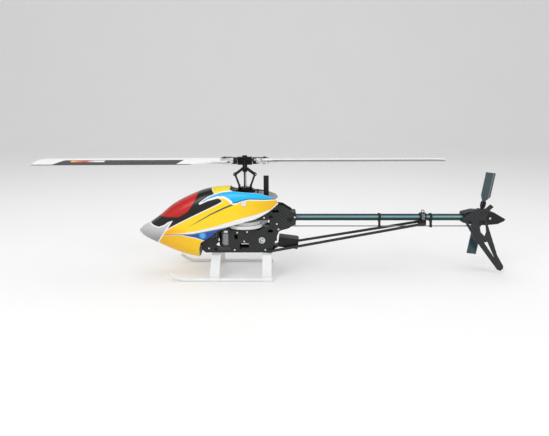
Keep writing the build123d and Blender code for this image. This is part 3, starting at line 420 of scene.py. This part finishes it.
def blade_frame(w, coords, end):
    """Reach from the mast, chord towards the trailing edge and height over the chord line, all in mm."""
    local = w.vector("SUBTRACT", coords, tuple(place(0, 0, HEAD_Z)))
    span = (-end * cos(TURN) / MM, -end * sin(TURN) / MM, 0.0)
    # trailing edge direction in the level plane, scaled up for the blade's pitch
    chord = (end * sin(TURN) / MM / cos(PITCH), -end * cos(TURN) / MM / cos(PITCH), 0.0)
    upward = (end * sin(TURN) * sin(PITCH) / MM, -end * cos(TURN) * sin(PITCH) / MM, cos(PITCH) / MM)
    measures = []
    for axis in (span, chord, upward):
        node = w.tree.nodes.new("ShaderNodeVectorMath")
        node.operation = "DOT_PRODUCT"
        w.feed(node.inputs[0], local)
        node.inputs[1].default_value = axis
        measures.append(node.outputs["Value"])
    return measures


def blade_paint(end):
    """White blade with a black trailing panel with slanted ends, warm rings near the tip, and painted shade:
    a dark strip along the trailing edge and a black underside.
    """
    material, w, shader, coords = start("blade_paint_%s" % ("front" if end > 0 else "rear"))
    reach, chord, rise = blade_frame(w, coords, end)
    fine, cloud = w.use(GRAIN, Vector=coords, Scale=1200.0)

    def between(value, low, high, soft):
        return w.math("MULTIPLY", w.ramp(value, low - soft, low + soft),
                      w.math("SUBTRACT", 1.0, w.ramp(value, high - soft, high + soft)))

    slant_root = w.math("MULTIPLY_ADD", chord, -0.7, reach)
    slant_tip = w.math("MULTIPLY_ADD", chord, -1.0, reach)
    panel_and_painted_shade = w.math("MULTIPLY", w.ramp(slant_root, 102.0, 102.8), w.ramp(slant_tip, 302.8, 302.0))
    panel_and_painted_shade = w.math("MULTIPLY", panel_and_painted_shade, w.ramp(chord, 0.4, 1.0))
    # painted shade: a dark strip along the trailing edge that runs on past the panel's ends
    panel_and_painted_shade = w.math("MAXIMUM", panel_and_painted_shade, w.ramp(chord, 16.4, 16.9))
    # painted shade: the whole underside of the blade is darkened
    panel_and_painted_shade = w.math("MAXIMUM", panel_and_painted_shade, w.ramp(rise, -0.9, -1.2))
    colour = w.mix(panel_and_painted_shade, (0.80, 0.80, 0.81), (0.012, 0.013, 0.015))
    band = w.math("MULTIPLY", between(reach, 236.0, 292.0, 0.6), between(chord, 2.4, 8.6, 0.4))
    warm = w.mix(w.ramp(reach, 290.0, 272.0), (0.95, 0.38, 0.02), (0.62, 0.03, 0.015))
    warm = w.mix(w.ramp(reach, 266.0, 252.0), warm, (0.75, 0.75, 0.75))
    colour = w.mix(band, colour, warm)
    edge = w.ramp(reach, 351.5, 352.5)
    colour = w.mix(w.math("MULTIPLY", edge, 0.25), colour, (0.25, 0.25, 0.26))
    marks = w.use(MARKS, Vector=coords, Amount=0.2)[0]
    w.feed(shader.inputs["Base Color"], w.mix(marks, colour, (0.5, 0.5, 0.5)))
    w.feed(shader.inputs["Roughness"], w.math("ADD", 0.22, w.math("MULTIPLY", cloud, 0.12)))
    shader.inputs["Coat Weight"].default_value = 0.4
    bump(w, shader, fine, 0.000006)
    return material


def tail_blade_paint(end):
    """Dark tail blade with a paler strip along its trailing edge."""
    material, w, shader, coords = start("tail_blade_%s" % ("upper" if end > 0 else "lower"))
    local = w.vector("SUBTRACT", coords, tuple(MM * v for v in TAIL_AXIS))
    node = w.tree.nodes.new("ShaderNodeVectorMath")
    node.operation = "DOT_PRODUCT"
    w.feed(node.inputs[0], local)
    node.inputs[1].default_value = (cos(TAIL_TURN) / MM, 0.0, -sin(TAIL_TURN) / MM)
    across = node.outputs["Value"]
    fine, cloud = w.use(GRAIN, Vector=coords, Scale=1400.0)
    colour = w.mix(cloud, (0.008, 0.026, 0.040), (0.022, 0.060, 0.080))
    colour = w.mix(w.ramp(across, 5.6, 6.2), colour, (0.16, 0.16, 0.155))
    colour = w.mix(w.ramp(across, 7.4, 7.9), colour, (0.03, 0.035, 0.035))
    w.feed(shader.inputs["Base Color"], colour)
    w.feed(shader.inputs["Roughness"], w.math("ADD", 0.25, w.math("MULTIPLY", fine, 0.08)))
    shader.inputs["Coat Weight"].default_value = 0.5
    bump(w, shader, fine, 0.00001)
    return material


def boom_paint():
    """Gloss black tube with a painted teal highlight along its upper flanks, a painted reflection of the
    lights.
    """
    material, w, shader, coords = start("boom_gloss")
    x, y, z = w.split(coords)
    fine, cloud = w.use(GRAIN, Vector=w.vector("MULTIPLY", coords, (0.2, 1.0, 1.0)), Scale=1200.0)
    height = w.math("SUBTRACT", z, BOOM_Z * MM)
    # painted highlight: a teal band along the tube's upper flanks stands in for a reflection of the lights
    painted_highlight = w.math("MULTIPLY", w.ramp(height, -0.0002, 0.0012), w.ramp(height, 0.0042, 0.0030))
    colour = w.mix(cloud, (0.002, 0.010, 0.013), (0.004, 0.020, 0.026))
    colour = w.mix(painted_highlight, colour, w.mix(cloud, (0.11, 0.27, 0.29), (0.20, 0.42, 0.44)))
    w.feed(shader.inputs["Base Color"], colour)
    w.feed(shader.inputs["Roughness"], w.math("ADD", 0.16, w.math("MULTIPLY", fine, 0.06)))
    shader.inputs["Specular IOR Level"].default_value = 0.35
    shader.inputs["Coat Weight"].default_value = 0.2
    shader.inputs["Coat Roughness"].default_value = 0.08
    bump(w, shader, fine, 0.000004)
    return material


def grip_metal():
    """Silver grip, blackened near the head and along its upper edge."""
    material, w, shader, coords = start("grip_metal")
    local = w.vector("SUBTRACT", coords, tuple(place(0, 0, HEAD_Z)))
    x, y, z = w.split(local)
    reach = w.math("SQRT", w.math("ADD", w.math("MULTIPLY", x, x), w.math("MULTIPLY", y, y)))
    dark = w.math("MAXIMUM", w.ramp(reach, 0.0212, 0.0200), w.ramp(z, 0.0046, 0.0050))
    fine, cloud = w.use(GRAIN, Vector=coords, Scale=2200.0)
    marks = w.use(MARKS, Vector=coords, Amount=0.25)[0]
    silver = w.mix(cloud, (0.56, 0.56, 0.57), (0.74, 0.74, 0.75))
    colour = w.mix(dark, silver, (0.02, 0.021, 0.023))
    w.feed(shader.inputs["Base Color"], w.mix(marks, colour, (0.6, 0.6, 0.6)))
    w.feed(shader.inputs["Roughness"], w.math("MULTIPLY_ADD", fine, 0.12, 0.24))
    shader.inputs["Metallic"].default_value = 0.9
    bump(w, shader, fine, 0.00001)
    return material


FINISH = {
    "carbon": carbon("carbon_side"),
    "carbon_level": carbon("carbon_level", level=True),
    "carbon_fin": carbon("carbon_fin", dark=(0.008, 0.009, 0.010), light=(0.028, 0.03, 0.033)),
    "black_metal": metal("black_anodised", (0.018, 0.019, 0.021), 0.34, marks=0.25, worn=(0.4, 0.4, 0.42)),
    "silver_metal": metal("silver_machined", (0.80, 0.80, 0.80), 0.28, (1.0, 1.0, 0.25), marks=0.15),
    "gunmetal": metal("motor_can", (0.30, 0.31, 0.32), 0.36, (1.0, 1.0, 0.2), marks=0.2),
    "steel": metal("ground_steel", (0.62, 0.58, 0.56), 0.24, (1.0, 1.0, 0.08), marks=0.1),
    "bright_steel": metal("screw_steel", (0.72, 0.72, 0.73), 0.22, marks=0.1),
    "rod": metal("rod_steel", (0.30, 0.31, 0.33), 0.3, (0.08, 1.0, 1.0), marks=0.1),
    "boom_black": boom_paint(),
    "white_plastic": plastic("white_nylon", (0.90, 0.91, 0.90), 0.38, marks=0.15, worn=(0.6, 0.6, 0.6)),
    "white_gloss": plastic("white_skid", (0.84, 0.85, 0.85), 0.30, marks=0.15, coat=0.2,
                           worn=(0.6, 0.6, 0.6)),
    "black_plastic": plastic("black_nylon", (0.008, 0.008, 0.009), 0.40, grain=0.00004,
                             worn=(0.06, 0.06, 0.06), gloss=0.3),
    "grey_plastic": plastic("grey_label_area", (0.10, 0.10, 0.11), 0.45),
    "white_rubber": plastic("white_rubber", (0.78, 0.79, 0.78), 0.6, grain=0.00005, worn=(0.5, 0.5, 0.5)),
    "battery_wrap": plastic("shrink_wrap", (0.02, 0.02, 0.026), 0.3, grain=0.00012),
    "strap_cloth": webbing("strap_webbing"),
    "canopy_paint": canopy_paint(),
    "canopy_inside": plastic("canopy_inside", (0.88, 0.88, 0.87), 0.5, grain=0.00008, worn=(0.6, 0.6, 0.58)),
    "grip": grip_metal(),
    "blade_front": blade_paint(1),
    "blade_rear": blade_paint(-1),
    "tail_upper": tail_blade_paint(1),
    "tail_lower": tail_blade_paint(-1),
}
SPECIAL = {
    "bottom_plate": "carbon_level", "battery_tray": "carbon_level", "vertical_fin": "carbon_fin",
    "motor_bell": "gunmetal", "motor_base": "silver_metal", "frame_screws": "bright_steel",
    "control_rod": "rod", "skid_arches": "white_gloss", "skid_pipes": "white_gloss",
    "blade_front": "blade_front", "blade_rear": "blade_rear", "grip_front": "grip", "grip_rear": "grip",
    "tail_blade_upper": "tail_upper", "tail_blade_lower": "tail_lower",
}
for part in frame["record"]["subparts"]:
    name = part["node"]
    wanted = FINISH[SPECIAL.get(name, part["material_slot"])]
    for holder in NODES[name].material_slots:
        holder.material = wanted


# ---------------------------------------------------------------- modelling helpers
def finish_piece(obj, name, body, material, slot, *nodes):
    """Names a piece, gives it its finish, hangs it on its body and hides the CAD nodes it stands for."""
    obj.name = name
    obj.data.name = name
    if material is not None:
        obj.data.materials.clear()
        obj.data.materials.append(FINISH[material])
    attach(obj, body)
    if nodes:
        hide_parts(*nodes)
    bpy.ops.object.select_all(action="DESELECT")


def settle(obj):
    """Leaves the object at the origin with its place in its mesh."""
    bpy.ops.object.select_all(action="DESELECT")
    obj.select_set(True)
    bpy.context.view_layer.objects.active = obj
    bpy.ops.object.transform_apply(location=True, rotation=True, scale=True)


def apply_modifier(obj, kind, **settings):
    """Adds one modifier with its settings and applies it."""
    bpy.ops.object.select_all(action="DESELECT")
    obj.select_set(True)
    bpy.context.view_layer.objects.active = obj
    modifier = obj.modifiers.new(kind, kind)
    for key, value in settings.items():
        setattr(modifier, key, value)
    bpy.ops.object.modifier_apply(modifier=modifier.name)


# ---------------------------------------------------------------- canopy
# aft of mast, half width, height of the widest line, top, bottom, squareness
STATIONS = [
    (-185.0, 4.0, 77.0, 81.0, 73.0, 0.56),
    (-181.0, 9.5, 77.0, 85.5, 68.5, 0.58),
    (-168.0, 17.5, 77.0, 92.5, 61.5, 0.62),
    (-150.0, 23.5, 77.5, 105.5, 53.5, 0.66),
    (-128.0, 28.0, 78.5, 123.5, 43.5, 0.70),
    (-102.0, 31.0, 81.0, 138.0, 34.5, 0.74),
    (-71.0, 32.5, 88.0, 150.5, 29.5, 0.78),
    (-40.0, 33.0, 97.0, 156.0, 30.0, 0.78),
    (10.0, 32.5, 105.0, 156.0, 40.0, 0.78),
    (62.0, 31.5, 108.0, 152.0, 60.0, 0.78),
]
CUT = [
    (-84, 10), (-80, 41), (-79, 52), (-76, 62), (-61, 72), (-45, 84.5), (-38, 86), (-12, 95.5),
    (18, 104), (36, 112.5), (50, 124), (57.5, 131), (54, 137.5), (40, 143), (23, 147), (3, 148.2),
    (-20, 150), (-25, 152.5), (-26, 170), (80, 170), (80, 10),
]
NOSE_ROUND = 3.0
SKIN = 1.2


def station(x):
    """The section's numbers at x by a smooth curve through the stations; the nose rounds off to a point."""
    last = len(STATIONS) - 1
    x = min(max(x, STATIONS[0][0]), STATIONS[last][0])
    i = max(k for k in range(last) if STATIONS[k][0] <= x)
    a, b = STATIONS[i], STATIONS[i + 1]
    before, after = STATIONS[max(i - 1, 0)], STATIONS[min(i + 2, last)]
    gap = b[0] - a[0]
    t = (x - a[0]) / gap
    row = []
    for k in range(1, 6):
        slope_a = (b[k] - before[k]) / (b[0] - before[0]) * gap
        slope_b = (after[k] - a[k]) / (after[0] - a[0]) * gap
        h = ((2 * t**3 - 3 * t**2 + 1) * a[k] + (t**3 - 2 * t**2 + t) * slope_a
             + (3 * t**2 - 2 * t**3) * b[k] + (t**3 - t**2) * slope_b)
        row.append(h)
    return row


def bezier(p0, p1, p2, p3, t):
    """A cubic curve's value at t."""
    return (1 - t)**3 * p0 + 3 * (1 - t)**2 * t * p1 + 3 * (1 - t) * t * t * p2 + t**3 * p3


def section_point(x, around):
    """A point of the shell's section at x; around runs 0 to 1 from starboard over the top and back."""
    half, chine, top, bottom, square = station(x)
    if x < STATIONS[0][0]:
        keep = max(0.0, 1 - ((STATIONS[0][0] - x) / NOSE_ROUND)**2)**0.5
        half *= keep
        top = chine + (top - chine) * keep
        bottom = chine + (bottom - chine) * keep
    quarter, t = divmod(around * 4 % 4, 1.0)
    rise = (top if quarter < 2 else bottom) - chine
    if quarter in (1, 3):
        t = 1 - t
    y = bezier(half, half, half * square, 0.0, t)
    z = bezier(0.0, square * rise, rise, rise, t)
    if quarter in (1, 2):
        y = -y
    return place(x, y, chine + z)


def build_canopy():
    """The thin shell: a grid laid on the sections, thickened, cut open and drilled for the posts."""
    lengths, rounds = 110, 88
    bpy.ops.mesh.primitive_grid_add(x_subdivisions=lengths, y_subdivisions=rounds, size=1)
    shell = bpy.context.object
    first, last = STATIONS[0][0] - NOSE_ROUND, STATIONS[-1][0]
    bpy.ops.object.mode_set(mode="EDIT")
    mesh = bmesh.from_edit_mesh(shell.data)
    for vert in mesh.verts:
        u, v = vert.co.x + 0.5, vert.co.y + 0.5
        vert.co = section_point(first + (last - first) * u**1.25, v)
    bmesh.update_edit_mesh(shell.data)
    bpy.ops.mesh.select_all(action="SELECT")
    bpy.ops.mesh.remove_doubles(threshold=0.00002)
    bpy.ops.mesh.normals_make_consistent(inside=False)
    bpy.ops.object.mode_set(mode="OBJECT")
    shell.data.materials.append(FINISH["canopy_paint"])
    shell.data.materials.append(FINISH["canopy_inside"])
    apply_modifier(shell, "SOLIDIFY", thickness=SKIN * MM, offset=-1.0, material_offset=1,
                   material_offset_rim=1, use_quality_normals=True)

    bpy.ops.object.select_all(action="DESELECT")
    bpy.ops.mesh.primitive_circle_add(vertices=len(CUT), radius=0.05, fill_type="NGON")
    cutter = bpy.context.object
    bpy.ops.object.mode_set(mode="EDIT")
    mesh = bmesh.from_edit_mesh(cutter.data)
    for vert, (x, z) in zip(mesh.verts, CUT):
        vert.co = place(x, -60, z)
    bmesh.update_edit_mesh(cutter.data)
    bpy.ops.mesh.select_all(action="SELECT")
    bpy.ops.mesh.extrude_region_move(TRANSFORM_OT_translate={"value": (0, 0.12, 0)})
    bpy.ops.mesh.select_all(action="SELECT")
    bpy.ops.mesh.normals_make_consistent(inside=False)
    bpy.ops.object.mode_set(mode="OBJECT")
    cutter.data.materials.append(FINISH["canopy_inside"])
    settle(cutter)
    apply_modifier(shell, "BOOLEAN", operation="DIFFERENCE", object=cutter, solver="EXACT",
                   material_mode="INDEX")
    bpy.data.objects.remove(cutter)

    bpy.ops.object.select_all(action="DESELECT")
    bpy.ops.mesh.primitive_cylinder_add(vertices=32, radius=3.0 * MM, depth=0.12,
                                        location=place(-0.7, 0, 131), rotation=(pi / 2, 0, 0))
    drill = bpy.context.object
    drill.data.materials.append(FINISH["canopy_inside"])
    settle(drill)
    apply_modifier(shell, "BOOLEAN", operation="DIFFERENCE", object=drill, solver="EXACT")
    bpy.data.objects.remove(drill)

    bpy.ops.object.select_all(action="DESELECT")
    shell.select_set(True)
    bpy.context.view_layer.objects.active = shell
    bpy.ops.object.shade_smooth_by_angle(angle=radians(35))
    settle(shell)
    finish_piece(shell, "canopy_skin", "canopy", None, "canopy_paint", "canopy")


build_canopy()


# ---------------------------------------------------------------- small fittings
def boom_ring(name, station_x, radius, thick, width, material):
    """A band round the boom, from a circle that is extruded aft, thickened and bevelled."""
    bpy.ops.object.select_all(action="DESELECT")
    bpy.ops.mesh.primitive_circle_add(vertices=48, radius=radius * MM, location=place(station_x, 0, BOOM_Z),
                                      rotation=(0.0, pi / 2, 0.0))
    band = bpy.context.object
    settle(band)
    bpy.ops.object.mode_set(mode="EDIT")
    bpy.ops.mesh.select_all(action="SELECT")
    bpy.ops.mesh.extrude_region_move(TRANSFORM_OT_translate={"value": (width * MM, 0, 0)})
    bpy.ops.object.mode_set(mode="OBJECT")
    apply_modifier(band, "SOLIDIFY", thickness=thick * MM, offset=1.0)
    apply_modifier(band, "BEVEL", width=0.3 * thick * MM, segments=2, limit_method="ANGLE",
                   angle_limit=radians(50))
    bpy.ops.object.select_all(action="DESELECT")
    band.select_set(True)
    bpy.context.view_layer.objects.active = band
    bpy.ops.object.mode_set(mode="EDIT")
    bpy.ops.mesh.select_all(action="SELECT")
    bpy.ops.mesh.normals_make_consistent(inside=False)
    bpy.ops.object.mode_set(mode="OBJECT")
    bpy.ops.object.shade_smooth_by_angle(angle=radians(40))
    finish_piece(band, name, "airframe", material, material)


boom_ring("clamp_band_silver", 309.0, 8.2, 0.5, 5.6, "silver_metal")
boom_ring("boom_tie", 305.0, 6.05, 1.3, 1.8, "black_plastic")


# ---------------------------------------------------------------- studio
def studio():
    """A pale floor that sweeps up behind the object."""
    half_width, front, back = 6.0, -3.0, 2.6
    turns, step, wall = 9, 0.16, 3.0
    just_under = -0.0002
    bpy.ops.object.select_all(action="DESELECT")
    bpy.ops.mesh.primitive_plane_add(size=1)
    sweep = bpy.context.object
    bpy.ops.object.mode_set(mode="EDIT")
    mesh = bmesh.from_edit_mesh(sweep.data)
    for vert in mesh.verts:
        side = 1 if vert.co.x > 0 else -1
        vert.co = Vector((half_width * side, back if vert.co.y > 0 else front, just_under))
    bmesh.update_edit_mesh(sweep.data)
    bpy.ops.mesh.select_all(action="DESELECT")
    mesh = bmesh.from_edit_mesh(sweep.data)
    for edge in mesh.edges:
        edge.select = all(vert.co.y > 0 for vert in edge.verts)
    bmesh.update_edit_mesh(sweep.data)
    for turn in range(1, turns + 1):
        angle = turn / turns * pi / 2
        bpy.ops.mesh.extrude_region_move(
            TRANSFORM_OT_translate={"value": (0, step * cos(angle), step * sin(angle))})
    bpy.ops.mesh.extrude_region_move(TRANSFORM_OT_translate={"value": (0, 0, wall)})
    bpy.ops.object.mode_set(mode="OBJECT")
    bpy.ops.object.shade_smooth()
    sweep.name = "floor_sweep"
    material, w, shader, coords = start("floor_paper")
    cloud = w.noise(coords, 3.0, 2.0, 0.5)
    w.feed(shader.inputs["Base Color"], w.mix(cloud, (0.76, 0.76, 0.76), (0.79, 0.79, 0.79)))
    shader.inputs["Roughness"].default_value = 0.75
    shader.inputs["Emission Color"].default_value = (1.0, 1.0, 1.0, 1.0)
    shader.inputs["Emission Strength"].default_value = 0.12
    sweep.data.materials.append(material)
    bpy.ops.object.select_all(action="DESELECT")


def area_light(name, spot, target, size, power):
    """A soft rectangular light at spot that faces target."""
    data = bpy.data.lights.new(name, "AREA")
    data.shape = "RECTANGLE"
    data.size, data.size_y = size
    data.energy = power
    lamp = bpy.data.objects.new(name, data)
    bpy.context.collection.objects.link(lamp)
    lamp.location = spot
    lamp.rotation_euler = (Vector(target) - Vector(spot)).to_track_quat("-Z", "Y").to_euler()


studio()
area_light("key", (-0.7, -1.1, 1.3), (0, 0, 0.1), (1.2, 0.8), 10)
area_light("top", (0.1, 0.1, 1.7), (0, 0, 0.1), (1.8, 1.2), 10)
area_light("fill", (1.2, -1.0, 0.6), (0.1, 0, 0.1), (1.0, 0.8), 4)

world = bpy.data.worlds.new("studio_world")
bpy.context.scene.world = world
world.use_nodes = True
background = world.node_tree.nodes["Background"]
background.inputs["Color"].default_value = (1.0, 1.0, 1.0, 1.0)
background.inputs["Strength"].default_value = 0.60

CAMERA_SPOT = (0.0, -0.780, 0.2833)
CAMERA_DIP = radians(13.31)          # the camera looks this far down
camera_data = bpy.data.cameras.new("camera")
camera_data.sensor_width = 36.0
camera_data.lens = 29.73
camera = bpy.data.objects.new("camera", camera_data)
bpy.context.collection.objects.link(camera)
camera.location = CAMERA_SPOT
camera.rotation_euler = (pi / 2 - CAMERA_DIP, 0.0, 0.0)
bpy.context.scene.camera = camera
bpy.context.scene.view_settings.view_transform = "Standard"
